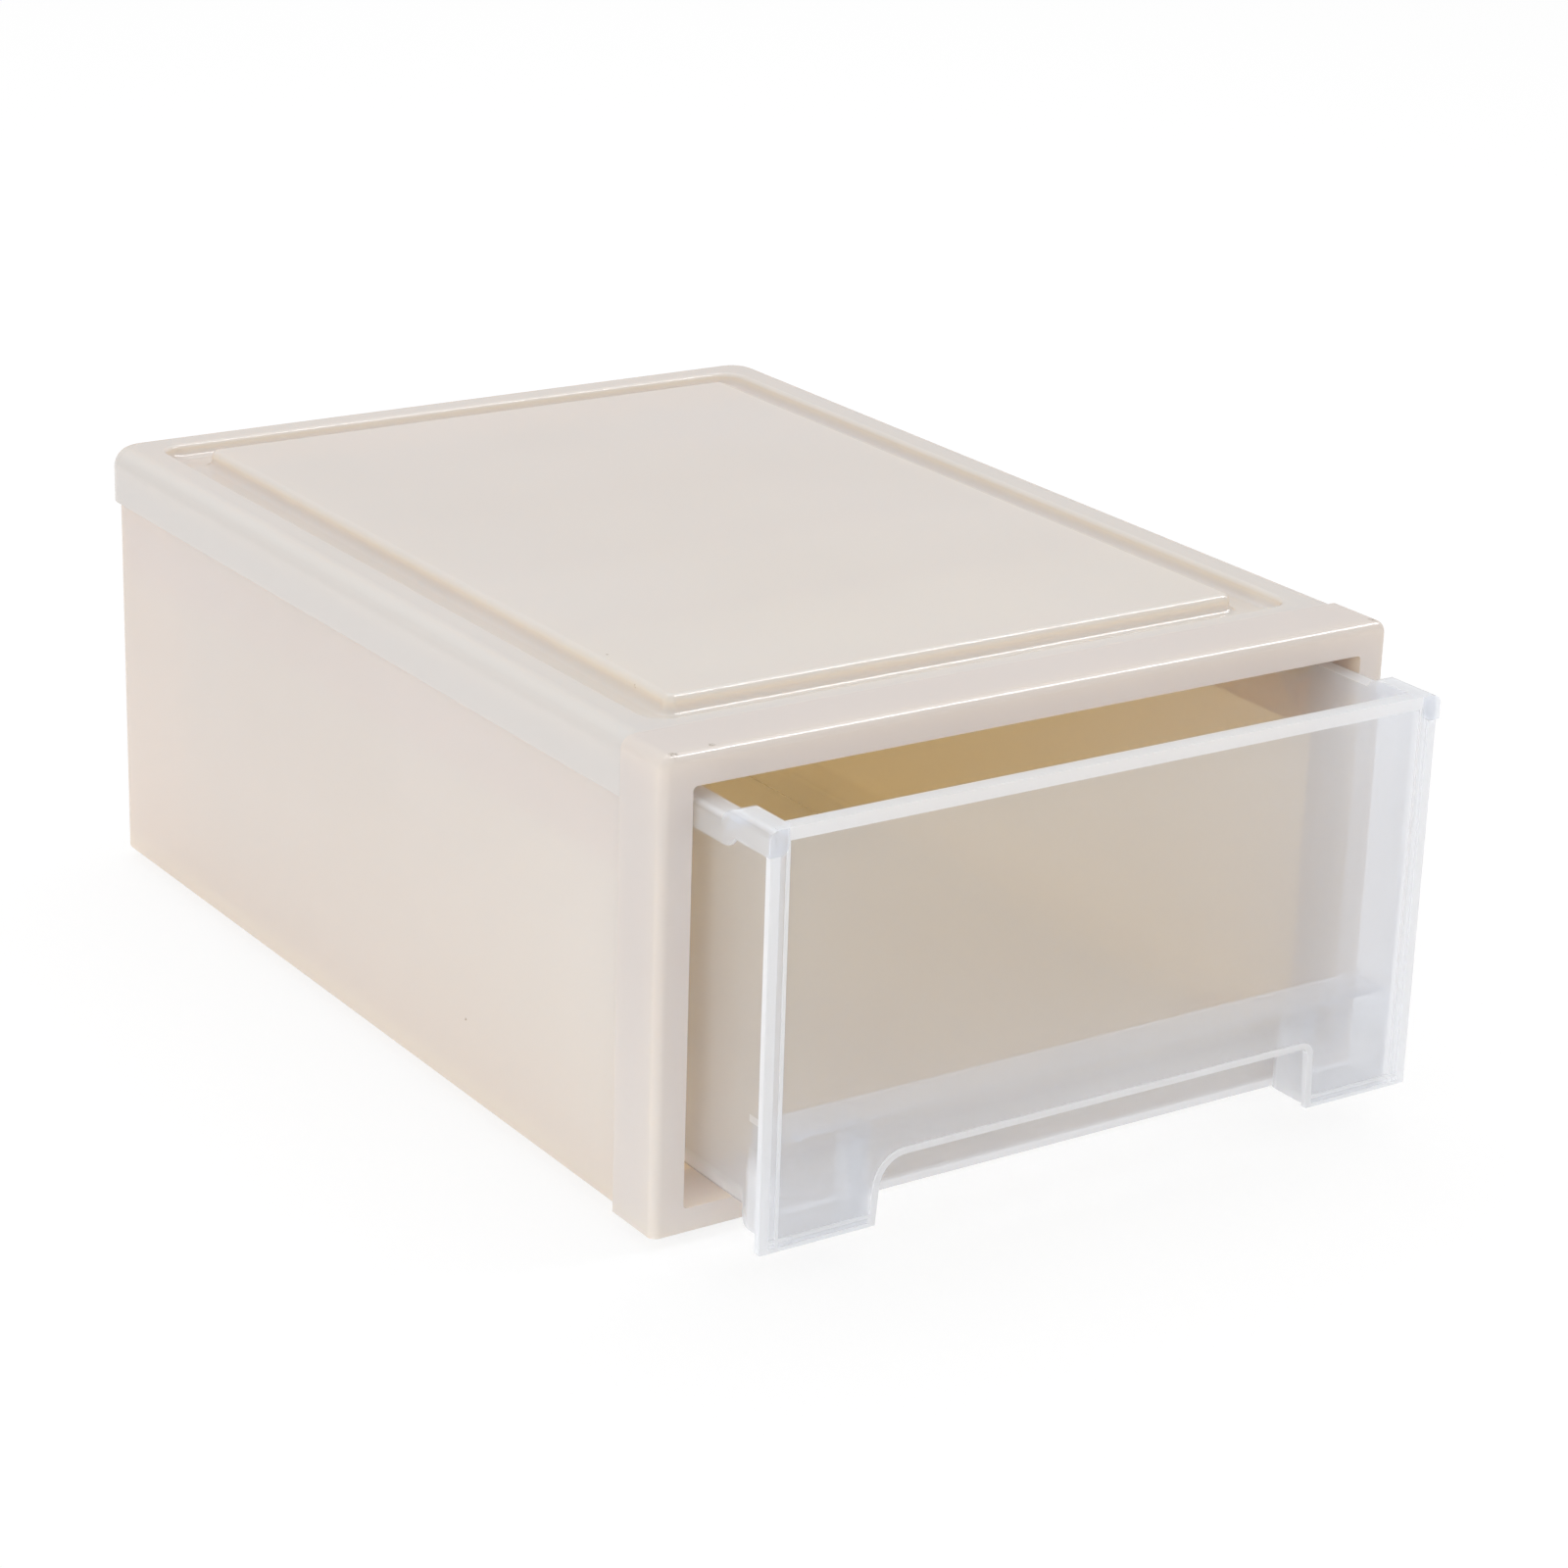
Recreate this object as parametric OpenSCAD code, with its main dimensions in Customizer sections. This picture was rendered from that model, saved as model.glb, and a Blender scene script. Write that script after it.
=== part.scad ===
// Stackable drawer box: moulded case with a clear slide-out drawer
// Millimetres. X is across the front, Y runs from the front to the back, Z is up.
// The origin is at the middle of the footprint, on the surface the box stands on.

/* [Show] */
// Piece to build, or all of them
// How far the drawer stands open
drawer_open = 38; // [5:1:120]

/* [Case] */
// Width over the front frame
case_w = 271; // [230:1:320]
// Depth from the frame's face to the back of the cover
case_d = 376; // [300:1:420]
// Height of the front frame
case_h = 150.6; // [130:0.1:190]
// Wall thickness of the shell
shell_t = 2.2; // [1.8:0.1:2.6]
// Height of the floor plate above the frame's bottom edge
floor_z = 3.2; // [3:0.1:3.6]
// Height of the shell's bottom edge above the frame's bottom edge
wall_lift = 0.8; // [0.4:0.1:1.4]

/* [Stacking feet] */
// How far the feet stand below the frame
foot_h = 4; // [2.5:0.1:4.2]
// Length of each foot
foot_len = 30; // [20:1:45]
// Gap between a foot and each side of the groove it drops into
foot_gap = 1.4; // [1:0.1:2]

/* [Cover] */
// How far the cover's band sits inside the frame's outline
skirt_inset = 0.5; // [0.2:0.1:2]
// Wall thickness of the band
skirt_t = 2; // [1.6:0.1:2.4]
// Height of the band
skirt_h = 19; // [14:0.5:30]
// Plan radius of the back corners
corner_r = 12; // [10:0.5:16]
// Radius of the cover's outer top edge
cover_edge_r = 7; // [4:0.5:8]
// Plate thickness of the cover
cover_t = 2.2; // [1.8:0.1:2.4]
// Distance from the frame's outline to the stacking groove
groove_inset = 15.5; // [13:0.1:17]
// Distance from the frame's face to the stacking groove
groove_front = 29.5; // [27:0.5:34]
// Width of the stacking groove
groove_w = 13; // [12.5:0.5:18]
// Depth of the stacking groove
groove_d = 4.8; // [4.6:0.1:5.2]
// How far the middle panel stands above the rim
panel_rise = 1.1; // [0.4:0.1:1.3]
// Radius of the middle panel's top edge
panel_edge_r = 2.2; // [0.6:0.1:2.4]
// Radius of the groove's upper outer edge
groove_edge_r = 1.6; // [0.6:0.1:2]
// Radius where the groove's sides meet its floor
groove_fillet_r = 3.1; // [1:0.1:3.1]

/* [Frame] */
// Depth of the frame
frame_d = 22.5; // [18:0.5:26]
// Width of the frame's side posts
post_w = 10.7; // [9.5:0.1:13]
// Height of the frame's top beam
beam_h = 10.1; // [9:0.1:13]
// Height of the frame's sill
sill_h = 7.6; // [7.4:0.1:9]
// Wall thickness of the frame
frame_t = 2.3; // [1.8:0.1:2.4]
// Radius of the frame's outer front edge
frame_edge_r = 2.8; // [2:0.1:4]
// Radius of the opening's corners
opening_r = 1.5; // [1:0.5:4]

/* [Rails] */
// Width of the ledge the drawer's rim rides on
rail_w = 11.7; // [9.8:0.1:12.1]
// Thickness of the rails
rail_t = 1.8; // [1.4:0.1:2.2]

/* [Drawer] */
// Wall thickness of the bin
bin_t = 1.7; // [1.3:0.1:2]
// How far the bin's side walls sit inside its rim
bin_inset = 6.7; // [6:0.1:8]
// How far each side wall leans in towards the floor
bin_draft = 1.2; // [0.5:0.1:3]
// Height of the bin's underside above the frame's bottom edge
bin_z = 8.7; // [8.5:0.1:13]
// Radius along the bin's lower side edges
bin_r = 12; // [4:0.5:13]
// Height of the down-turned rim
rim_h = 8; // [5:0.5:10]
// Radius of the rim's outer top edge
rim_edge_r = 3; // [1.8:0.1:3.2]
// Step in the rim behind the front
rim_step = 3.4; // [2:0.1:4]
// Radius of the raised rim's rear end
rim_end_r = 6; // [4.5:0.5:8]
// Depth of the finger recess
recess_d = 18; // [12:0.5:24]
// Height of the recess's ceiling above the frame's bottom edge
ledge_z = 43; // [38:0.5:55]
// Height of the finger cut-out's upper edge
cutout_z = 29; // [22:0.5:34]
// Width of the finger cut-out at its top
cutout_w = 163; // [100:1:176]
// Corner radius at the cut-out's left end
cutout_left_r = 9.5; // [4:0.5:11]
// Corner radius at the cut-out's right end
cutout_right_r = 2.5; // [2:0.5:11]
// Width of the ribbed border at the front plate's sides
border_w = 6.6; // [5:0.1:12]
// Height of the ribbed border along the front plate's bottom
border_h = 4; // [3:0.1:8]
// Thickness of the front plate
plate_t = 1.7; // [1.4:0.1:2.2]
// Height of the ridges on the front plate
bead_h = 0.5; // [0.3:0.1:0.8]

/* [Fits] */
// Clearance between the rim and the opening's sides
rim_gap = 0.8; // [0.4:0.1:0.9]
// Clearance between the front plate's lower edge and the sill
plate_gap = 0.6; // [0.4:0.1:1]
// Clearance between the drawer's top edge and the beam
top_gap = 1.1; // [0.6:0.1:1.6]
// Clearance between the cover's band and the shell
cover_fit = 0.1; // [0.05:0.05:0.2]
// Clearance between the rim's lower edge and the rails
ride_gap = 0.3; // [0.2:0.1:0.6]

/* [Hidden] */
$fn = 64;
eps = 0.01;
big = 1000;
case_color = [0.86, 0.83, 0.78];
clear_color = [0.90, 0.92, 0.93, 0.55];

// case, measured from the frame's face and bottom edge
lobe_t = 0.6;
mid_y = (case_d - drawer_open - lobe_t) / 2;
half_w = case_w / 2;
skirt_x = half_w - skirt_inset;
shell_x = skirt_x - skirt_t - cover_fit;
shell_in = shell_x - shell_t;
shell_back = case_d - skirt_t - cover_fit;
shell_r = corner_r - skirt_t - cover_fit;
shell_front = 8;
shell_heel_r = 3;
land_under = case_h - cover_t;
shell_top = land_under - (cover_edge_r - skirt_t) - cover_fit;
open_x = half_w - post_w;
open_top = case_h - beam_h;
bezel_t = 3;
frame_joint = 0.5;
frame_r = 4.2;
frame_in_t = 2.2;
frame_in_r = 0.6;
frame_rib_t = 1.6;
frame_rib_inset = 2;
rail_leg = 20;
floor_rib_t = 1.6;
floor_rib_h = 1.5;
floor_rib_pitch = 52;
bumper_d = 3;
bumper_w = 6;
bumper_x = 70;
bumper_h = 60;
foot_t = 2;
foot_r = 3;

// cover
groove_x = half_w - groove_inset;
groove_back = case_d - groove_inset + skirt_inset;
groove_r = 8;
panel_x = groove_x - groove_w;
panel_front = groove_front + groove_w;
panel_back = groove_back - groove_w;
panel_r = 3.2;
groove_floor = case_h - groove_d;
trough_under = groove_floor - cover_t;
tongue_d = 10;
tongue_t = 1.8;
tongue_gap = 0.3;
cover_rib_t = 1.5;
cover_rib_pitch = 54;

// drawer, measured from the front plate's face
rim_x = open_x - rim_gap;
rim_t = 1.5;
rim_front_top = open_top - top_gap;
rim_low = rim_front_top - rim_step;
rail_z = rim_low - rim_h - ride_gap;
rim_end_y = 18.3;
rim_ramp_y = 17.2;
rim_back_w = 5;
rim_r = 10;
bin_x = rim_x - bin_inset;
bin_front = plate_t + bead_h;
drawer_d = shell_back - shell_t - bumper_d - 0.5;
bin_back = drawer_d - rim_back_w;
bin_plan_r = rim_r - rim_back_w;
foot_edge_r = 3;
plate_x = rim_x - 0.8;
plate_z = sill_h + plate_gap;
plate_r = 0.6;
foot_z = plate_z;
lobe_w = 6.5;
lobe_r = 3;
cutout_flare = 1;
foot_in = cutout_w / 2 + 2.4;
top_bead = 4;
bead_w = 1.1;
lip_d = 5;
lip_t = 1.6;
tab_len = 8;
floor_line_w = 1.2;
floor_line_h = 0.6;
floor_line_pitch = 36.8;
stop_len = 8;
stop_w = 5.5;
stop_h = trough_under - rim_low - 1.6;
stop_y = drawer_d - 24;
ledge_edge_r = 4.5;

module in_case() {
    translate([0, -mid_y, foot_h]) children();
}

module in_drawer() {
    translate([0, -mid_y - drawer_open, foot_h]) children();
}

// 2D shapes drawn as (x, z) and run from y0 to y1
module along_y(y0, y1) {
    translate([0, y1, 0]) rotate([90, 0, 0]) linear_extrude(y1 - y0) children();
}

// 2D shapes drawn as (y, z) and run from x0 to x1
module along_x(x0, x1) {
    translate([x0, 0, 0]) rotate([90, 0, 90]) linear_extrude(x1 - x0) children();
}

module along_z(z0, z1) {
    translate([0, 0, z0]) linear_extrude(z1 - z0) children();
}

module box(p0, p1) {
    translate(p0) cube(p1 - p0);
}

module rect(x0, y0, x1, y1) {
    translate([x0, y0]) square([x1 - x0, y1 - y0]);
}

// rectangle with all four corners rounded
module round_rect(x0, y0, x1, y1, r) {
    rect(x0 + r, y0, x1 - r, y1);
    rect(x0, y0 + r, x1, y1 - r);
    for (x = [x0 + r, x1 - r], y = [y0 + r, y1 - r]) translate([x, y]) circle(r);
}

// plan shape with a straight front and rounded back corners
module plan(hw, y0, y1, r) {
    rect(-hw, y0, hw, y1 - r);
    rect(-hw + r, y0, hw - r, y1);
    for (s = [-1, 1]) translate([s * (hw - r), y1 - r]) circle(r);
}

// cross-section of an edge: u inward from the face, v downward from the top, corner rounded
module edge_profile(u1, v1, r) {
    rect(r, 0, u1, v1);
    rect(0, r, u1, v1);
    intersection() {
        translate([r, r]) circle(r);
        rect(0, 0, r, r);
    }
}

// runs an edge section along both sides
module run_sides(hw, y0, y1, top) {
    for (s = [-1, 1]) translate([s * hw, y1, top]) rotate([90, 0, 0]) mirror([0, 1])
        mirror([s > 0 ? 1 : 0, 0]) linear_extrude(y1 - y0) children();
}

// runs an edge section along both sides and the back; the plan corners have radius r
module sweep_back(hw, y0, y1, r, top) {
    run_sides(hw, y0, y1 - r, top) children();
    for (s = [-1, 1]) translate([s * (hw - r), y1 - r, top]) rotate([0, 0, s > 0 ? 0 : 90])
        rotate_extrude(angle = 90) translate([r, 0]) mirror([1, 0]) mirror([0, 1]) children();
    translate([-(hw - r), y1, top]) rotate([90, 0, 90]) mirror([0, 1]) mirror([1, 0])
        linear_extrude(2 * (hw - r)) children();
}

// runs an edge section round a whole rectangle in plan
module sweep_round(hw, y0, y1, r, top) {
    sweep_back(hw, y0 + r, y1, r, top) children();
    for (s = [-1, 1]) translate([s * (hw - r), y0 + r, top]) rotate([0, 0, s > 0 ? -90 : 180])
        rotate_extrude(angle = 90) translate([r, 0]) mirror([1, 0]) mirror([0, 1]) children();
    translate([-(hw - r), y0, top]) rotate([90, 0, 90]) mirror([0, 1])
        linear_extrude(2 * (hw - r)) children();
}

module foot_plan(s, end, shrink) {
    x0 = panel_x + foot_gap + shrink;
    x1 = groove_x - foot_gap - shrink;
    y0 = end > 0 ? groove_back - foot_gap - foot_len + shrink : groove_front + foot_gap + shrink;
    y1 = y0 + foot_len - 2 * shrink;
    mirror([s > 0 ? 0 : 1, 0]) round_rect(x0, y0, x1, y1, foot_r - shrink);
}

// ---- case ----

module case_shell() {
    color(case_color) in_case() {
        difference() {
            intersection() {
                along_z(wall_lift, shell_top) plan(shell_x, shell_front, shell_back, shell_r);
                along_x(-half_w, half_w) {
                    rect(0, wall_lift + shell_heel_r, shell_back, case_h);
                    rect(0, wall_lift, shell_back - shell_heel_r, case_h);
                    translate([shell_back - shell_heel_r, wall_lift + shell_heel_r]) circle(shell_heel_r);
                }
            }
            // inside of the tub
            along_z(floor_z + shell_t, case_h) plan(shell_in, 0, shell_back - shell_t, shell_r - shell_t);
            // recess under the floor
            along_z(0, floor_z) plan(shell_in, 0, shell_back - shell_t, shell_r - shell_t);
            // step that slides into the frame
            box([-half_w, 0, 0], [half_w, frame_d + frame_joint, floor_z]);
            for (s = [-1, 1], e = [-1, 1]) along_z(0, floor_z + shell_t + 1) foot_plan(s, e, foot_t);
        }
        for (s = [-1, 1], e = [-1, 1]) difference() {
            along_z(-foot_h, floor_z + eps) foot_plan(s, e, 0);
            along_z(foot_t - foot_h, floor_z + 1) foot_plan(s, e, foot_t);
        }
        // stiffening ribs under the floor
        for (i = [-1:1]) box([i * floor_rib_pitch - floor_rib_t / 2, frame_d + 6, floor_z - floor_rib_h],
            [i * floor_rib_pitch + floor_rib_t / 2, shell_back - shell_t, floor_z + eps]);
        for (i = [1:4]) let (y = frame_d + 6 + i * (shell_back - frame_d) / 5)
            box([-panel_x + 4, y, floor_z - floor_rib_h], [panel_x - 4, y + floor_rib_t, floor_z + eps]);
        // bumpers that stop the drawer when it is closed
        for (s = [-1, 1]) box([s * bumper_x - bumper_w / 2, shell_back - shell_t - bumper_d, floor_z + shell_t],
            [s * bumper_x + bumper_w / 2, shell_back - shell_t + eps, floor_z + shell_t + bumper_h]);
    }
}

// square corner piece with a hollow quarter round, which faces up and away from x
module fillet(r) {
    difference() {
        square(r);
        translate([0, r]) circle(r);
    }
}

// cross-section of the groove's outer wall: u inward from the wall, v downward from the rim land
module groove_wall() {
    e = groove_edge_r;
    g = groove_fillet_r;
    rect(-e - 2, 0, -e, cover_t);
    rect(-cover_t, e, 0, groove_d + cover_t);
    rect(-cover_t, 0, -e, cover_t);
    translate([-e, e]) circle(e);
    translate([g, groove_d]) rotate(180) fillet(g);
    rect(-cover_t, groove_d, g + 1, groove_d + cover_t);
}

module top_cover() {
    edge_w = min(corner_r - 1, groove_inset - skirt_inset - 1.5);
    panel_top = case_h + panel_rise;
    panel_h = panel_top - groove_floor;
    groove_lap = groove_edge_r + 1;
    edge_u = panel_r - 0.2;
    land_in = (edge_w + cover_edge_r) / 2;
    plate_in = (edge_u + panel_edge_r) / 2 + 0.2;
    tongue_z = case_h - frame_t - tongue_gap;
    color(case_color) in_case() {
        // band with its rounded top edge
        sweep_back(skirt_x, frame_d, case_d, corner_r, case_h) difference() {
            edge_profile(edge_w, skirt_h, cover_edge_r);
            translate([skirt_t, cover_t]) edge_profile(case_h, case_h, cover_edge_r - skirt_t);
        }
        // rim land, groove and raised middle panel, hollow underneath
        difference() {
            union() {
                along_z(land_under, case_h) difference() {
                    plan(skirt_x - land_in, frame_d, case_d - land_in, corner_r - land_in);
                    round_rect(-groove_x - groove_lap, groove_front - groove_lap,
                        groove_x + groove_lap, groove_back + groove_lap, groove_r + groove_lap);
                }
                sweep_round(groove_x, groove_front, groove_back, groove_r, case_h) groove_wall();
                along_z(trough_under, groove_floor) round_rect(1 - groove_x, groove_front + 1,
                    groove_x - 1, groove_back - 1, groove_r - 1);
                sweep_round(panel_x, panel_front, panel_back, panel_r, panel_top) {
                    edge_profile(edge_u, panel_h + 1, panel_edge_r);
                    translate([-groove_fillet_r, panel_h]) mirror([0, 1]) fillet(groove_fillet_r);
                    rect(-groove_fillet_r, panel_h, 0, panel_h + 1);
                }
                along_z(groove_floor - 1, panel_top) rect(plate_in - panel_x, panel_front + plate_in,
                    panel_x - plate_in, panel_back - plate_in);
            }
            along_z(0, panel_top - cover_t) rect(cover_t - panel_x, panel_front + cover_t,
                panel_x - cover_t, panel_back - cover_t);
        }
        for (i = [-1:1]) box([i * cover_rib_pitch - cover_rib_t / 2, panel_front + 1, trough_under],
            [i * cover_rib_pitch + cover_rib_t / 2, panel_back - 1, panel_top - cover_t + eps]);
        for (i = [1:4]) let (y = panel_front + i * (panel_back - panel_front) / 5)
            box([1 - panel_x, y, trough_under], [panel_x - 1, y + cover_rib_t, panel_top - cover_t + eps]);
        // tongue that slides under the frame's beam
        box([1 - shell_in, frame_d - tongue_d, tongue_z - tongue_t], [shell_in - 1, frame_d + tongue_t, tongue_z]);
        box([1 - shell_in, frame_d, tongue_z - eps], [shell_in - 1, frame_d + tongue_t, land_under + eps]);
    }
}

module front_frame() {
    rib_y = frame_d - frame_rib_inset;
    color(case_color) in_case() {
        difference() {
            union() {
                rotate([90, 0, 0]) sweep_back(half_w, 0, case_h, frame_r, 0)
                    edge_profile(frame_r - 0.2, frame_d, min(frame_edge_r, frame_r - 0.4));
                along_y(0, frame_d) rect(frame_r - 0.3 - half_w, 0,
                    half_w - frame_r + 0.3, case_h - frame_r + 0.3);
            }
            along_y(-1, frame_d + 1) round_rect(-open_x, sill_h, open_x, open_top, opening_r);
            // hollow behind the face
            along_y(bezel_t, frame_d + 1) difference() {
                round_rect(frame_t - half_w, frame_t, half_w - frame_t, case_h - frame_t, frame_in_r);
                round_rect(-open_x - frame_in_t, floor_z + shell_t, open_x + frame_in_t, open_top + frame_in_t,
                    opening_r + frame_in_t);
            }
        }
        // ribs, cut back for the shell's walls
        for (s = [-1, 1], i = [1:4]) let (z = sill_h + i * (open_top - sill_h) / 5) mirror([s > 0 ? 0 : 1, 0, 0]) {
            box([open_x + frame_in_t - eps, bezel_t - eps, z], [half_w - frame_t + eps, shell_front, z + frame_rib_t]);
            box([open_x + frame_in_t - eps, shell_front - eps, z], [shell_in, rib_y, z + frame_rib_t]);
        }
        // ribs of the beam and the sill, slotted for the cover's tongue and the floor
        for (i = [-2:2]) let (x = i * open_x / 2.6 - frame_rib_t / 2) {
            box([x, bezel_t - eps, open_top + frame_in_t - eps],
                [x + frame_rib_t, frame_d - tongue_d, case_h - frame_t + eps]);
            box([x, frame_d - tongue_d - eps, open_top + frame_in_t - eps],
                [x + frame_rib_t, rib_y, case_h - frame_t - tongue_gap - tongue_t]);
            box([x, bezel_t - eps, frame_t - eps], [x + frame_rib_t, shell_front, floor_z + shell_t + eps]);
            box([x, shell_front - eps, frame_t - eps], [x + frame_rib_t, rib_y, floor_z]);
        }
    }
}

module rail() {
    y0 = frame_d + frame_joint;
    y1 = shell_back - shell_r;
    along_y(y0, y1) {
        rect(shell_in - rail_w, rail_z - rail_t, shell_in, rail_z);
        rect(shell_in - rail_t, rail_z - rail_leg, shell_in, rail_z);
    }
    for (i = [0:5]) let (y = y0 + 8 + i * (y1 - y0 - 18) / 5) along_y(y, y + rail_t)
        polygon([[shell_in - rail_t / 2, rail_z - rail_leg + 2], [shell_in - rail_t / 2, rail_z - rail_t / 2],
            [shell_in - rail_w + 1, rail_z - rail_t / 2], [shell_in - rail_w + 1, rail_z - rail_t - 1]]);
}

module left_rail() {
    color(case_color) in_case() mirror([1, 0, 0]) rail();
}

module right_rail() {
    color(case_color) in_case() rail();
}

// ---- drawer ----

// the bin's cross-section, moved inward by the given amount
module bin_section(inset, top) {
    lean = bin_draft / (rim_front_top - bin_z);
    a = atan(lean);
    r = bin_r - inset;
    z0 = bin_z + inset;
    w = bin_x - inset;
    cx = w - (rim_front_top - z0) * lean + r * lean - r / cos(a);
    tx = cx + r * cos(a);
    tz = z0 + r - r * sin(a);
    w1 = w - (rim_front_top - top) * lean;
    polygon([[-cx, z0], [cx, z0], [tx, tz], [w1, top], [-w1, top], [-tx, tz]]);
    for (s = [-1, 1]) translate([s * cx, z0 + r]) circle(r);
}

// side view of the raised front of the rim, with the given wall taken off
module raised_side(t) {
    rect(-lobe_t, rim_front_top - rim_h, rim_end_y, rim_front_top - t);
    intersection() {
        translate([rim_end_y, rim_front_top - rim_end_r]) circle(rim_end_r - t);
        rect(rim_end_y - eps, rim_front_top - rim_h, rim_end_y + rim_end_r, rim_front_top);
    }
}

// side view of what is cut from the low rim's underside, where it ramps up to the raised front
module rim_ramp() {
    z0 = rim_low - rim_h;
    foot_y = rim_ramp_y + rim_step;
    k = rim_end_r / 2 * tan(22.5);
    polygon([[rim_ramp_y - 1, z0 - 1], [rim_ramp_y - 1, z0 + rim_step], [rim_ramp_y, z0 + rim_step],
        [foot_y, z0], [foot_y, z0 - 1]]);
    difference() {
        polygon([[foot_y - k * sqrt(0.5), z0 + k * sqrt(0.5)], [foot_y, z0 - eps], [foot_y + k, z0 - eps],
            [foot_y + k, z0]]);
        translate([foot_y + k, z0 + rim_end_r / 2]) circle(rim_end_r / 2);
    }
}

// cross-section of the rim: u inward from its outer face, v downward from its top
module rim_section(w) {
    difference() {
        edge_profile(w, rim_h, rim_edge_r);
        translate([rim_t, rim_t]) edge_profile(w, rim_h, rim_edge_r - rim_t);
    }
}

// side view of the space in front of the set-back wall, grown by the given amount
module recess_side(grow) {
    r = ledge_edge_r - bin_t + grow;
    y1 = recess_d + grow;
    z1 = ledge_z - bin_t + grow;
    rect(-1, 0, y1, z1 - r);
    rect(-1, 0, y1 - r, z1);
    translate([y1 - r, z1 - r]) circle(r);
}

module foot_box(inset) {
    lean = bin_draft / (rim_front_top - bin_z);
    z0 = foot_z + inset;
    z1 = ledge_z - inset;
    polygon([[foot_in + inset, z0], [bin_x - inset - (rim_front_top - z0) * lean, z0],
        [bin_x - inset - (rim_front_top - z1) * lean, z1], [foot_in + inset, z1]]);
}

module foot_side(inset) {
    r = foot_edge_r - inset;
    y1 = recess_d + bin_t - inset;
    z0 = foot_z + inset;
    intersection() {
        recess_side(bin_t - inset);
        union() {
            rect(-1, z0 + r, y1, case_h);
            rect(-1, z0, y1 - r, case_h);
            translate([y1 - r, z0 + r]) circle(r);
        }
    }
}

module drawer_bin() {
    rim_w = rim_x - bin_x + bin_t / 2;
    color(clear_color) in_drawer() {
        difference() {
            intersection() {
                along_y(bin_front, bin_back) bin_section(0, rim_front_top);
                along_x(-half_w, half_w) {
                    rect(0, 0, rim_end_y, rim_front_top - rim_step);
                    raised_side(0);
                    rect(0, 0, drawer_d, rim_low);
                }
                along_z(0, case_h) plan(bin_x, 0, bin_back, bin_plan_r);
            }
            intersection() {
                along_y(0, bin_back) bin_section(bin_t, case_h);
                along_z(0, case_h + 1) plan(bin_x, 0, bin_back - bin_t, bin_plan_r - bin_t);
                along_x(-half_w, half_w) difference() {
                    rect(0, 0, bin_back, case_h);
                    recess_side(bin_t);
                }
            }
            along_x(-half_w, half_w) recess_side(0);
        }
        // foot boxes, open towards the front plate
        for (s = [0, 1]) mirror([s, 0, 0]) difference() {
            intersection() {
                along_y(bin_front, recess_d + bin_t) foot_box(0);
                along_x(foot_in, bin_x) foot_side(0);
            }
            intersection() {
                along_y(0, recess_d) foot_box(bin_t);
                along_x(foot_in, bin_x) foot_side(bin_t);
            }
        }
        // raised front of the rim, closed at its rear end and cut round the front plate
        difference() {
            intersection() {
                run_sides(rim_x, 0, rim_end_y + rim_end_r, rim_front_top) edge_profile(rim_w, rim_h, rim_edge_r);
                along_x(-half_w, half_w) raised_side(0);
            }
            intersection() {
                run_sides(rim_x, 0, rim_end_y + rim_end_r, rim_front_top)
                    translate([rim_t, rim_t]) edge_profile(rim_w, rim_h, rim_edge_r - rim_t);
                along_x(-half_w, half_w) translate([0, -1]) raised_side(rim_t - 1);
            }
            along_y(-1, bin_front) plate_top();
        }
        // lobes in front of the plate
        for (s = [0, 1]) mirror([s, 0, 0]) along_y(-lobe_t, 0) {
            rect(rim_x - lobe_w + lobe_r, rim_front_top - rim_h, rim_x, rim_front_top - rim_edge_r);
            rect(rim_x - lobe_w, rim_front_top - rim_h + lobe_r, rim_x - rim_edge_r, rim_front_top);
            translate([rim_x - lobe_w + lobe_r, rim_front_top - rim_h + lobe_r]) circle(lobe_r);
            translate([rim_x - rim_edge_r, rim_front_top - rim_edge_r]) circle(rim_edge_r);
        }
        // low rim round the sides and the back
        difference() {
            sweep_back(rim_x, rim_ramp_y, drawer_d, rim_r, rim_low) rim_section(rim_w + 1);
            along_x(-half_w, half_w) rim_ramp();
            along_z(0, case_h) plan(bin_x - bin_t / 2, 0, bin_back - bin_t / 2, bin_plan_r);
        }
        // catches that meet the frame's beam when the drawer is fully open
        for (s = [0, 1]) mirror([s, 0, 0]) along_x(rim_x - stop_w - 2, rim_x - 2)
            polygon([[stop_y, rim_low - rim_t / 2], [stop_y, rim_low + stop_h], [stop_y + stop_len / 3, rim_low + stop_h],
                [stop_y + stop_len, rim_low - rim_t / 2]]);
        // raised lines along the floor
        for (i = [-2.5:2.5]) box([i * floor_line_pitch - floor_line_w / 2, recess_d + bin_t + 6, bin_z + bin_t - eps],
            [i * floor_line_pitch + floor_line_w / 2, bin_back - bin_t - 6, bin_z + bin_t + floor_line_h]);
    }
}

module cutout(grow) {
    w = cutout_w / 2 + grow;
    z1 = cutout_z + grow;
    z0 = plate_z - 1;
    for (s = [0, 1]) let (r = (s == 1 ? cutout_left_r : cutout_right_r) + grow) mirror([s, 0]) {
        polygon([[-eps, z0], [w + cutout_flare, z0], [w, z1 - r], [-eps, z1 - r]]);
        rect(-eps, z1 - r - eps, w - r, z1);
        translate([w - r, z1 - r]) circle(r);
    }
}

// front view of the plate's upper part, which the rim wraps round
module plate_top() {
    x1 = rim_x - rim_t;
    r = rim_edge_r - rim_t;
    rect(-x1, plate_z + plate_r, x1, rim_front_top - r);
    rect(r - x1, plate_z + plate_r, x1 - r, rim_front_top);
    for (s = [-1, 1]) translate([s * (x1 - r), rim_front_top - r]) circle(r);
}

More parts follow.
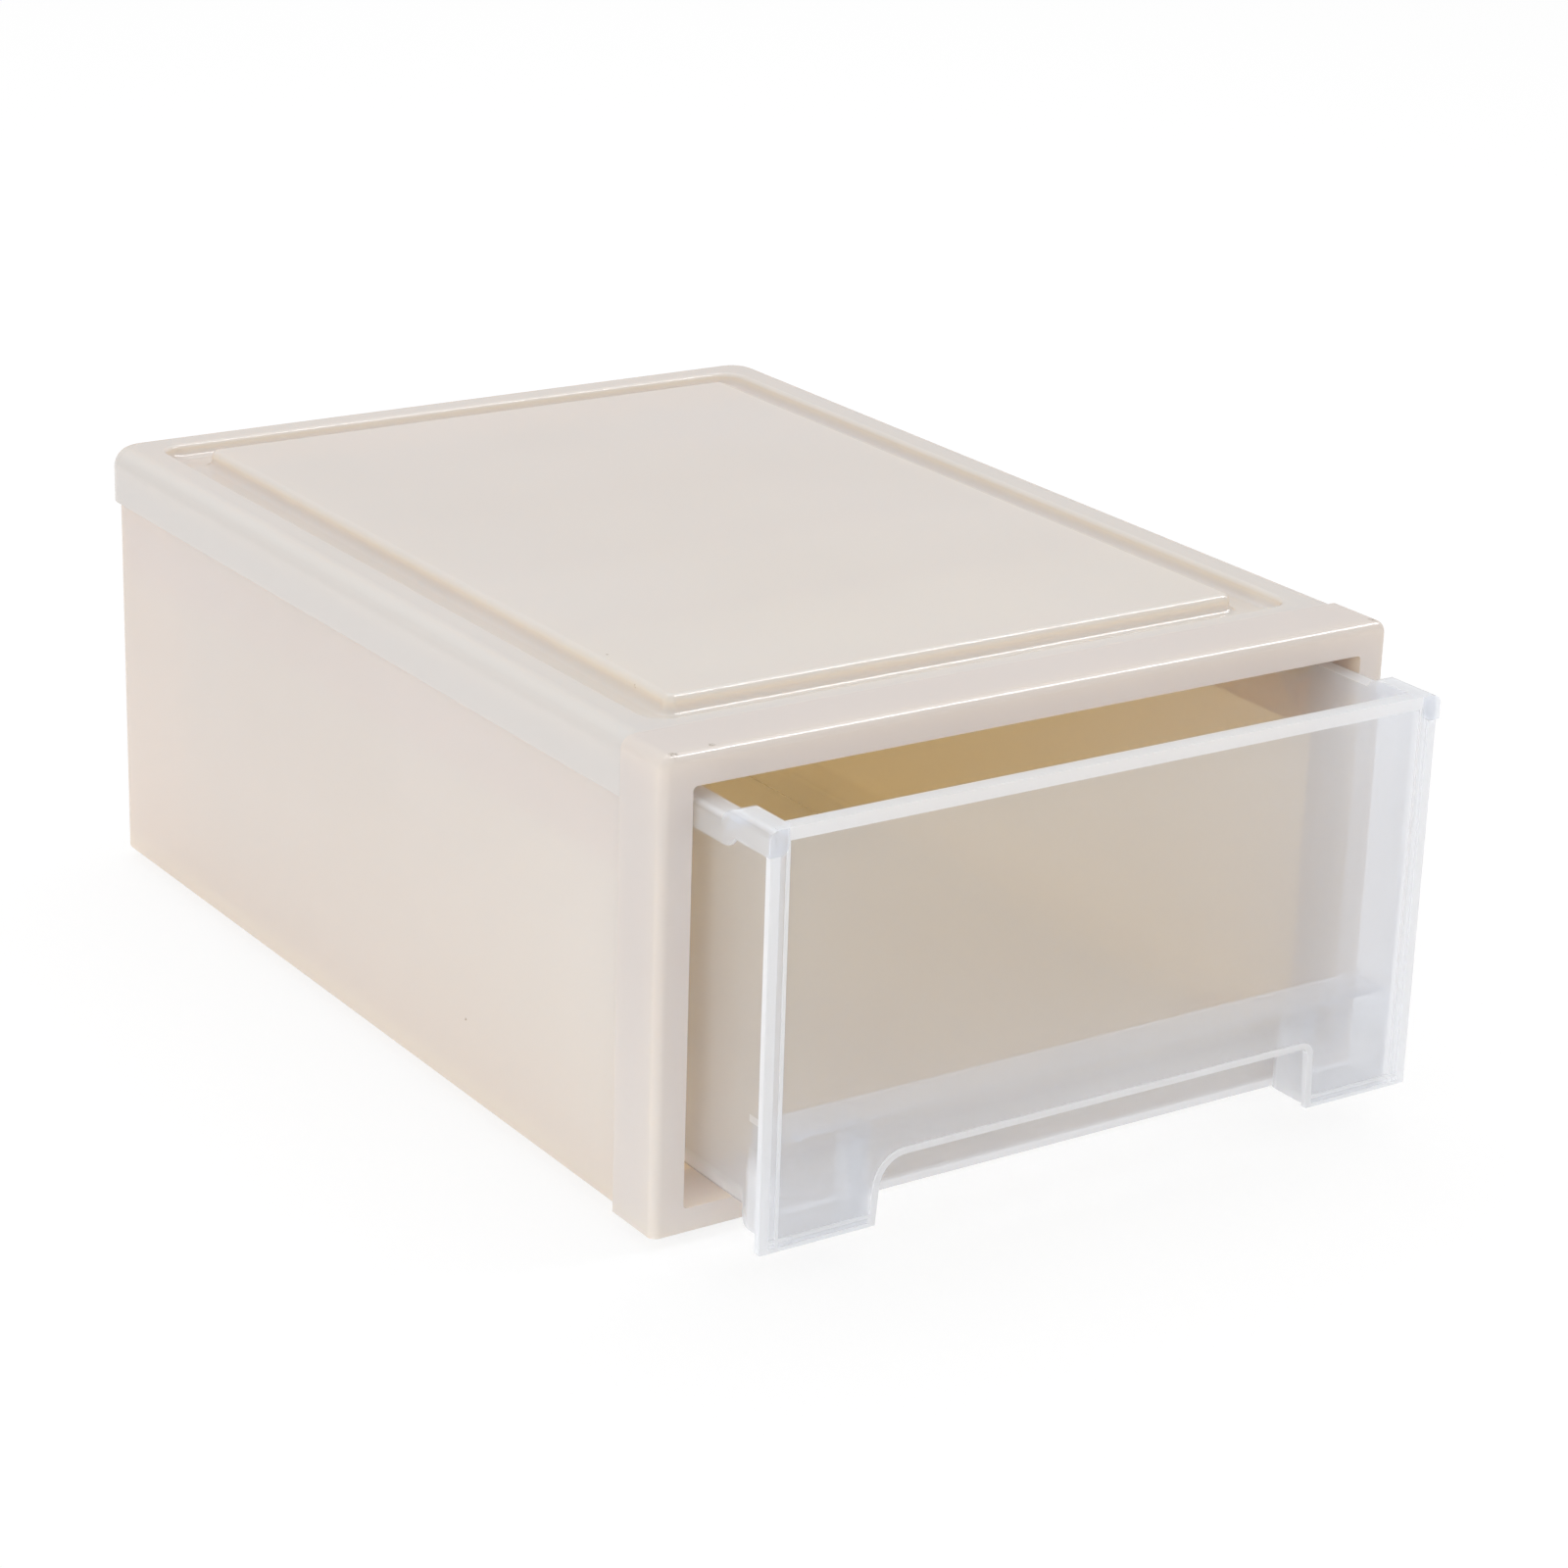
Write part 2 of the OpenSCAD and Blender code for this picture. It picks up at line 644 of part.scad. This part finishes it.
module plate_outline() {
    difference() {
        union() {
            round_rect(-plate_x, plate_z, plate_x, rim_front_top - rim_h, plate_r);
            plate_top();
        }
        cutout(0);
    }
}

module drawer_front() {
    lip_x = bin_x - bin_t - 0.1;
    tab_z = ledge_z - bin_t;
    color(clear_color) in_drawer() {
        along_y(bead_h, bin_front) plate_outline();
        // ridges round the border
        along_y(0, bead_h + eps) intersection() {
            plate_outline();
            union() {
                rect(-plate_x, rim_front_top - top_bead, plate_x, rim_front_top);
                rect(-plate_x, plate_z, plate_x, plate_z + bead_w);
                rect(-plate_x, plate_z + border_h - bead_w, plate_x, plate_z + border_h);
                for (s = [0, 1]) mirror([s, 0]) {
                    rect(plate_x - border_w / 2, plate_z, plate_x, rim_front_top);
                    rect(plate_x - border_w, plate_z, plate_x - border_w + bead_w, rim_front_top);
                }
                difference() {
                    cutout(2 * bead_w);
                    cutout(0);
                }
            }
        }
        // lip along the top edge
        box([-lip_x, bead_h, rim_front_top - lip_t], [lip_x, lip_d, rim_front_top]);
        // tabs that plug into the foot boxes
        for (s = [0, 1]) mirror([s, 0, 0]) {
            box([foot_in + bin_t, bin_front - eps, foot_z + bin_t + 2], [foot_in + bin_t + plate_t, tab_len, tab_z - 6]);
            box([foot_in + tab_len, bin_front - eps, tab_z - plate_t], [foot_in + 3 * tab_len, tab_len, tab_z]);
        }
    }
}

case_shell();
top_cover();
front_frame();
left_rail();
right_rail();
drawer_bin();
drawer_front();
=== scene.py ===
import bpy
from mathutils import Matrix, Vector

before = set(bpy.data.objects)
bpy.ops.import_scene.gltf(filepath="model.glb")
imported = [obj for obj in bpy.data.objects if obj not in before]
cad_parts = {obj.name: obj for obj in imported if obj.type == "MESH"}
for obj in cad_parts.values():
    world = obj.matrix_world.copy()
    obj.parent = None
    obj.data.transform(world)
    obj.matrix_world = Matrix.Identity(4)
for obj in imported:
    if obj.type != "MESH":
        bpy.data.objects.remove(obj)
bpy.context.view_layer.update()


# ---------------------------------------------------------------- node helpers
def linear(srgb):
    return [c / 12.92 if c <= 0.04045 else ((c + 0.055) / 1.055) ** 2.4 for c in srgb]


def rgba(r, g, b):
    return (*linear((r / 255, g / 255, b / 255)), 1.0)


class Tree:
    """Small wrapper that makes node networks short to write."""

    def __init__(self, owner):
        owner.use_nodes = True
        self.t = owner.node_tree
        self.t.nodes.clear()

    def node(self, kind, **settings):
        n = self.t.nodes.new(kind)
        for key, value in settings.items():
            setattr(n, key, value)
        return n

    def put(self, socket, value):
        if isinstance(value, bpy.types.NodeSocket):
            self.t.links.new(value, socket)
        else:
            socket.default_value = value

    def coords(self):
        return self.node("ShaderNodeTexCoord").outputs["Object"]

    def split(self, vector):
        n = self.node("ShaderNodeSeparateXYZ")
        self.put(n.inputs[0], vector)
        return tuple(n.outputs)

    def noise(self, vector, scale, detail=1.0):
        n = self.node("ShaderNodeTexNoise")
        self.put(n.inputs["Vector"], vector)
        n.inputs["Scale"].default_value = scale
        n.inputs["Detail"].default_value = detail
        return n.outputs["Fac"]

    def remap(self, value, start, end, low, high):
        """low where value is at start, high where it is at end, held beyond both."""
        n = self.node("ShaderNodeMapRange")
        self.put(n.inputs["Value"], value)
        names = ("From Min", "From Max", "To Min", "To Max")
        for name, v in zip(names, (start, end, low, high)):
            n.inputs[name].default_value = v
        return n.outputs["Result"]

    def mix(self, fac, a, b):
        n = self.node("ShaderNodeMix", data_type="RGBA")
        self.put(n.inputs["Factor"], fac)
        colours = {s.name: s for s in n.inputs if s.type == "RGBA"}
        self.put(colours["A"], a)
        self.put(colours["B"], b)
        return next(s for s in n.outputs if s.type == "RGBA")

    def math(self, op, a, b=0.0):
        n = self.node("ShaderNodeMath", operation=op)
        self.put(n.inputs[0], a)
        self.put(n.inputs[1], b)
        return n.outputs[0]

    def absolute(self, value):
        return self.math("ABSOLUTE", value)

    def product(self, first, *others):
        for other in others:
            first = self.math("MULTIPLY", first, other)
        return first

    def greatest(self, first, *others):
        for other in others:
            first = self.math("MAXIMUM", first, other)
        return first

    def bump(self, height, strength, distance):
        n = self.node("ShaderNodeBump")
        self.put(n.inputs["Height"], height)
        n.inputs["Strength"].default_value = strength
        n.inputs["Distance"].default_value = distance
        return n.outputs["Normal"]

    def blend(self, fac, a, b):
        """Shader a where fac is 0, shader b where it is 1."""
        n = self.node("ShaderNodeMixShader")
        for socket, value in zip(n.inputs, (fac, a, b)):
            is_node = isinstance(value, bpy.types.Node)
            self.put(socket, value.outputs[0] if is_node else value)
        return n.outputs[0]

    def background(self, strength):
        n = self.node("ShaderNodeBackground")
        n.inputs["Color"].default_value = PLAIN_WHITE
        self.put(n.inputs["Strength"], strength)
        return n

    def seen_directly(self):
        """1 for the camera's rays, also where they have passed through the clear drawer."""
        path = self.node("ShaderNodeLightPath")
        return self.greatest(path.outputs["Is Camera Ray"], path.outputs["Is Transmission Ray"])

    def finish(self, surface, kind="Material"):
        self.put(self.node("ShaderNodeOutput" + kind).inputs["Surface"], surface)


# ---------------------------------------------------------------- colours and measures
PLAIN_WHITE = (1.0, 1.0, 1.0, 1.0)
SHELL = rgba(232, 235, 236), rgba(229, 232, 232)
COVER = rgba(228, 234, 237), rgba(225, 231, 233)
FRAME = rgba(221, 217, 214), rgba(218, 214, 211)
WARM = rgba(255, 210, 138)          # the light that comes through the beige plastic
WARM_DEEPER = 0.97                  # how far its clouds darken it
PAINTED_FLOOR_BOUNCE = rgba(248, 247, 244)    # painted light: the case is lightened towards this colour low down, for light bounced up from the floor
SCUFF = rgba(96, 88, 80)
SHADED_SKIRT = rgba(209, 206, 203)         # the cover's outer band: painted shade, a darker copy of the cover's colour
THIN_WALL_SHARE, FRAME_SHARE, SKIRT_SHARE = 0.33, 0.20, 0.08     # of light let through
MILK = rgba(239, 241, 245), rgba(243, 245, 248)
MILK_GLOW = rgba(243, 245, 248), rgba(246, 248, 251)
MILK_SHADE = rgba(176, 178, 186)
CLEAR_TINT = rgba(241, 243, 248)

# small dark scuffs: centre and half length in metres
SCUFFS = (
    ((-0.1305, -0.1665, 0.1542), 0.0018),
    ((-0.1167, -0.1650, 0.1546), 0.0014),
    ((0.1313, -0.1654, 0.1546), 0.0017),
    ((-0.1023, -0.0840, 0.1557), 0.0008),
    ((-0.1070, -0.1076, 0.1535), 0.0008),
    ((-0.1329, -0.0520, 0.0303), 0.0008),
)
SCUFF_CORE, SCUFF_STRENGTH = 0.3, 0.8
SCUFF_RAGGED = (0.42, 0.55)

# noise scales, with the detail where it isn't plain
CASE_CLOUD, MILK_CLOUD, SCUFF_RAGS = (9.0, 2.0), (14.0, 2.0), (1500.0, 2.0)
CASE_WAVE, MILK_WAVE, CASE_GRAIN = 30.0, 40.0, 1400.0
PAPER_CLOUD = (3.0, 3.0)

# what a mask or a noise turns into over its span
RISE, FALL = (0.0, 1.0), (1.0, 0.0)
NOISE_MIDDLE, NOISE_WIDE = (0.3, 0.7), (0.2, 0.8)

# gloss, and how far a bump goes: strength and metres
CASE_IOR, CASE_ROUGHNESS, CASE_BUMP = 1.49, (0.11, 0.15), (0.03, 0.0001)
MILK_ROUGHNESS, MILK_BUMP = (0.14, 0.20), (0.04, 0.0004)
SHINE_IOR, SHINE_ROUGHNESS = 1.4, (0.08, 0.14)
SIGHT_IOR, SIGHT_ROUGHNESS = 1.02, 0.05

# How milky the clear plastic looks: 0 is clear, 1 hides what is behind. Facing is 0 where a
# wall is seen flat on and 1 where it is seen along its face.
FACING_BLEND = 0.5
SEEN_FLAT_ON, FLAT_ON_HAZE = (0.2, 0.5), (0.40, 0.43)
SEEN_RAKING, RAKING_HAZE = (0.5, 0.8), (0.42, 0.95)
GLOW_SHARE = 0.4                    # the part of the haze that lets light through from behind
PLATE_RIM_HAZE, RIB_HAZE, PLATE_SIDE_HAZE = 0.88, 0.90, 0.62
PLATE_FOOT_HAZE = (0.54, 0.38)
FOOT_WALL_HAZE = (0.68, 0.94)       # walls that face the front, walls that face the sides
FOOT_WALL_FADE = (1.0, 0.4)
FOOT_FLOOR_HAZE, FOOT_FLOOR_SHADE = 0.9, 0.8
LEDGE_HAZE, SEAM_HAZE, BIN_RIM_HAZE = 0.62, 0.97, 0.85

# Spans over which a mask changes: metres in the part's frame, or a share of the normal.
FACING_AXIS = (0.3, 0.9)            # a face turns from lying along an axis to facing it
# painted floor bounce: the height it reaches, and its share at the floor and at the top of that
# height
LOW_DOWN, FLOOR_BOUNCE_SHARE = (0.0, 0.09), (0.5, 0.0)
SKIRT_SIDE = (0.1300, 0.1336)       # |x| of the cover's outer band
SKIRT_BACK = (0.2023, 0.2059)
RIB_FACE = (-0.20655, -0.20635)     # the plate's proud ribs, in front of its field
PLATE_SIDE = (0.1164, 0.1168)       # |x| of the plate's side borders
PLATE_FOOT = (0.028, 0.046)
FOOT_FLOOR = (0.0143, 0.0150)       # over the floor of the bin's foot boxes
FOOT_WALLS = (0.030, 0.040)
FOOT_TOP = (0.045, 0.046)
FRONT_WALL = (-0.190, -0.189)       # behind the bin's front wall
FOOT_BACK = (-0.190, -0.187)
LEDGE = (0.0465, 0.0469)            # the ledge over the bin's front wall
LEDGE_TOP = (0.0490, 0.0500)
SEAM_Y = 0.1914                     # how far in front of the origin the ledge's seam lies
SEAM_WIDTH = (0.0005, 0.0013)
SEAM_ENDS = (0.106, 0.110)
SEAM_START = (0.0440, 0.0450)
RIM_HEIGHT = (0.125, 0.131)


# ---------------------------------------------------------------- materials
def one_skin(t, surface):
    """A wall's far face, met from inside the material, lets the ray go on.

    So a wall counts as one skin."""
    face = t.node("ShaderNodeNewGeometry")
    return t.blend(face.outputs["Backfacing"], surface, t.node("ShaderNodeBsdfTransparent"))


def scuff_mask(t, p):
    ragged = t.noise(p, *SCUFF_RAGS)
    mark = 0.0
    for centre, size in SCUFFS:
        gap = t.node("ShaderNodeVectorMath", operation="DISTANCE")
        t.put(gap.inputs[0], p)
        gap.inputs[1].default_value = centre
        near = t.remap(gap.outputs["Value"], SCUFF_CORE * size, size, *FALL)
        mark = t.greatest(mark, near)
    return t.product(mark, t.remap(ragged, *SCUFF_RAGGED, 0.0, SCUFF_STRENGTH))


def case_plastic(name, light, dark, share, shaded_skirt=None):
    """Glossy beige moulding that lets a share of warm light through.

    The last argument, if given, is the colour of the cover's outer band, which lies over the walls
    and lets hardly any through; that colour is painted shade, darker than the top."""
    m = bpy.data.materials.new(name)
    t = Tree(m)
    p = t.coords()
    x, y, z = t.split(p)
    cloud = t.noise(p, *CASE_CLOUD)
    wave = t.noise(p, CASE_WAVE)
    grain = t.noise(p, CASE_GRAIN)
    tone = t.mix(t.remap(cloud, *NOISE_MIDDLE, *RISE), dark, light)
    # the cover's outer band lies over the walls, so it lets less light through; its darker colour
    # is painted shade
    if shaded_skirt is not None:
        sides = t.remap(t.absolute(x), *SKIRT_SIDE, *RISE)
        outer = t.greatest(sides, t.remap(y, *SKIRT_BACK, *RISE))
        tone = t.mix(outer, tone, shaded_skirt)
        share = t.remap(outer, *RISE, share, SKIRT_SHARE)
    # painted light: the case turns lighter towards the bottom, for light bounced up from the floor
    tone = t.mix(t.remap(z, *LOW_DOWN, *FLOOR_BOUNCE_SHARE), tone, PAINTED_FLOOR_BOUNCE)
    s = t.node("ShaderNodeBsdfPrincipled")
    t.put(s.inputs["Base Color"], t.mix(scuff_mask(t, p), tone, SCUFF))
    t.put(s.inputs["Roughness"], t.remap(wave, *NOISE_WIDE, *CASE_ROUGHNESS))
    s.inputs["IOR"].default_value = CASE_IOR
    t.put(s.inputs["Normal"], t.bump(grain, *CASE_BUMP))
    glow = t.node("ShaderNodeBsdfTranslucent")
    deeper = tuple(WARM_DEEPER * c for c in WARM[:3]) + (1.0,)
    t.put(glow.inputs["Color"], t.mix(cloud, WARM, deeper))
    t.finish(one_skin(t, t.blend(share, s, glow)))
    return m


def clear_plastic(name, edges):
    """Milky see-through moulding: part of the light passes straight, part is scattered.

    edges(t, place, normal) says where it is seen edge-on or doubled, so whiter, and
    where it is shaded. Both are x, y, z sockets."""
    m = bpy.data.materials.new(name)
    t = Tree(m)
    p = t.coords()
    cloud = t.noise(p, *MILK_CLOUD)
    wave = t.noise(p, MILK_WAVE)
    normal = t.bump(wave, *MILK_BUMP)
    facing = t.split(t.node("ShaderNodeTexCoord").outputs["Normal"])
    thick, shade = edges(t, t.split(p), facing)
    milk = t.node("ShaderNodeBsdfPrincipled")
    t.put(milk.inputs["Base Color"], t.mix(shade, t.mix(cloud, *MILK), MILK_SHADE))
    t.put(milk.inputs["Roughness"], t.remap(wave, *NOISE_MIDDLE, *MILK_ROUGHNESS))
    t.put(milk.inputs["Normal"], normal)
    glow = t.node("ShaderNodeBsdfTranslucent")
    t.put(glow.inputs["Color"], t.mix(cloud, *MILK_GLOW))
    sight = t.node("ShaderNodeBsdfRefraction")
    sight.inputs["Color"].default_value = CLEAR_TINT
    sight.inputs["IOR"].default_value = SIGHT_IOR
    sight.inputs["Roughness"].default_value = SIGHT_ROUGHNESS
    shine = t.node("ShaderNodeBsdfGlossy")
    t.put(shine.inputs["Roughness"], t.remap(wave, *NOISE_MIDDLE, *SHINE_ROUGHNESS))
    t.put(shine.inputs["Normal"], normal)
    # walls seen at a slant pass less light straight on
    tilt = t.node("ShaderNodeLayerWeight")
    tilt.inputs["Blend"].default_value = FACING_BLEND
    flat_on = t.remap(tilt.outputs["Facing"], *SEEN_FLAT_ON, *FLAT_ON_HAZE)
    raking = t.remap(tilt.outputs["Facing"], *SEEN_RAKING, *RAKING_HAZE)
    haze = t.greatest(flat_on, raking, thick)
    film = t.blend(haze, sight, t.blend(GLOW_SHARE, milk, glow))
    mirror = t.node("ShaderNodeFresnel")
    mirror.inputs["IOR"].default_value = SHINE_IOR
    t.finish(one_skin(t, t.blend(mirror.outputs[0], film, shine)))
    return m


def plate_edges(t, place, normal):
    """The plate's rim faces, the proud ribs along its outline, and its borders."""
    x, y, z = place
    rim = t.remap(t.absolute(normal[1]), *FACING_AXIS, PLATE_RIM_HAZE, 0.0)
    rib = t.remap(y, *RIB_FACE, RIB_HAZE, 0.0)
    side = t.remap(t.absolute(x), *PLATE_SIDE, 0.0, PLATE_SIDE_HAZE)
    foot = t.remap(z, *PLATE_FOOT, *PLATE_FOOT_HAZE)
    return t.greatest(rim, foot, side, rib), 0.0


def bin_edges(t, place, normal):
    """The rim's upward faces, the foot boxes' upright walls, and the ledge with its seam."""
    x, y, z = place
    up = t.remap(t.absolute(normal[2]), *FACING_AXIS, *RISE)
    across = t.remap(t.absolute(normal[0]), *FACING_AXIS, *FOOT_WALL_HAZE)
    in_front = t.remap(y, *FRONT_WALL, *FALL)

    lying = t.product(up, t.remap(z, *FOOT_FLOOR, *FALL), in_front)
    walls = t.product(across,
                      t.remap(z, *FOOT_WALLS, *FOOT_WALL_FADE),
                      t.remap(z, *FOOT_TOP, *FALL),
                      t.remap(y, *FOOT_BACK, *FALL))
    foot = t.greatest(walls, t.product(lying, FOOT_FLOOR_HAZE))

    shelf = t.remap(z, *LEDGE, 0.0, LEDGE_HAZE)
    off_seam = t.absolute(t.math("ADD", y, SEAM_Y))
    seam = t.product(t.remap(off_seam, *SEAM_WIDTH, SEAM_HAZE, 0.0),
                     t.remap(t.absolute(x), *SEAM_ENDS, *FALL),
                     t.remap(z, *SEAM_START, *RISE))
    ahead = t.product(t.greatest(shelf, seam), in_front, t.remap(z, *LEDGE_TOP, *FALL))

    rim = t.product(up, t.remap(z, *RIM_HEIGHT, 0.0, BIN_RIM_HAZE))
    return t.greatest(rim, foot, ahead), t.product(lying, FOOT_FLOOR_SHADE)


def dress(material, *nodes):
    for node in nodes:
        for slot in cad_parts[node].material_slots:
            slot.material = material


shell_mat = case_plastic("shell_moulding", *SHELL, THIN_WALL_SHARE)
cover_mat = case_plastic("cover_moulding", *COVER, THIN_WALL_SHARE, SHADED_SKIRT)
frame_mat = case_plastic("frame_moulding", *FRAME, FRAME_SHARE)
bin_mat = clear_plastic("bin_moulding", bin_edges)
plate_mat = clear_plastic("plate_moulding", plate_edges)
dress(shell_mat, "case_shell", "left_rail", "right_rail")
dress(cover_mat, "top_cover")
dress(frame_mat, "front_frame")
dress(bin_mat, "drawer_bin")
dress(plate_mat, "drawer_front")

# ---------------------------------------------------------------- stage
HALF_FLOOR = 6.0
PAPER = (0.93, 0.93, 0.93, 1), (0.95, 0.95, 0.95, 1)
FLOOR_LIFT = 0.86                   # the share of the floor that shows as plain white
ROOM = (0.0, 0.9, 0.73, 0.84)       # from the horizon to overhead: direction's height, strength

mesh = bpy.data.meshes.new("floor")
corners = [(HALF_FLOOR * i, HALF_FLOOR * j, 0) for i, j in ((-1, -1), (1, -1), (1, 1), (-1, 1))]
mesh.from_pydata(corners, [], [(0, 1, 2, 3)])
floor = bpy.data.objects.new("floor", mesh)
bpy.context.scene.collection.objects.link(floor)
floor_mat = bpy.data.materials.new("floor_paper")
t = Tree(floor_mat)
paper = t.node("ShaderNodeBsdfDiffuse")
t.put(paper.inputs["Color"], t.mix(t.noise(t.coords(), *PAPER_CLOUD), *PAPER))
lift = t.node("ShaderNodeEmission")
lift.inputs["Color"].default_value = PLAIN_WHITE
t.finish(t.blend(t.product(t.seen_directly(), FLOOR_LIFT), paper, lift))
mesh.materials.append(floor_mat)

world = bpy.data.worlds.new("studio")
bpy.context.scene.world = world
t = Tree(world)
# the room is bright overhead and darker towards the horizon, so that gloss has something to mirror
height = t.split(t.node("ShaderNodeTexCoord").outputs["Generated"])[2]
room = t.background(t.remap(height, *ROOM))
t.finish(t.blend(t.seen_directly(), room, t.background(1.0)), "World")

# name, place, what it points at, size in metres, watts
LAMPS = (
    ("key", (-1.8, -0.6, 0.70), (0, 0, 0.08), (1.4, 1.0), 9.0),
    ("top", (0.5, 0.7, 2.2), (0, 0, 0.1), (2.2, 1.6), 20.0),
    ("front", (1.0, -1.3, 0.5), (0, -0.17, 0.08), (0.5, 0.5), 2.4),
    ("edge_strip", (0.85, -0.33, 1.35), (0, -0.17, 0.15), (0.34, 1.4), 24.0),
)


def softbox(name, place, target, size, power):
    data = bpy.data.lights.new(name, "AREA")
    data.shape = "RECTANGLE"
    data.size, data.size_y = size
    data.energy = power
    obj = bpy.data.objects.new(name, data)
    obj.location = place
    obj.rotation_euler = (Vector(target) - Vector(place)).to_track_quat("-Z", "Y").to_euler()
    bpy.context.scene.collection.objects.link(obj)
    return obj


lamps = {lamp[0]: softbox(*lamp) for lamp in LAMPS}
# the two low lamps aren't mirrored, so that they don't burn out the top when seen from across it
lamps["key"].visible_glossy = False
lamps["front"].visible_glossy = False
# the strip is for gloss only: it draws the bright line along the frame's top edge
lamps["edge_strip"].visible_diffuse = False

# ---------------------------------------------------------------- camera
CAMERA_AT = (-0.7075, -1.0745, 0.5401)
RIGHT = Vector((0.83370, -0.55138, 0.03040))
UP = Vector((0.16579, 0.30244, 0.93865))
SENSOR_MM, LENS_MM = 36.0, 92.82

camera = bpy.data.cameras.new("camera")
camera.sensor_width = SENSOR_MM
camera.lens = LENS_MM
cam_obj = bpy.data.objects.new("camera", camera)
turn = Matrix((RIGHT, UP, RIGHT.cross(UP))).transposed()
cam_obj.matrix_world = Matrix.Translation(CAMERA_AT) @ turn.to_4x4()
bpy.context.scene.collection.objects.link(cam_obj)
bpy.context.scene.camera = cam_obj
bpy.context.scene.view_settings.view_transform = "Standard"
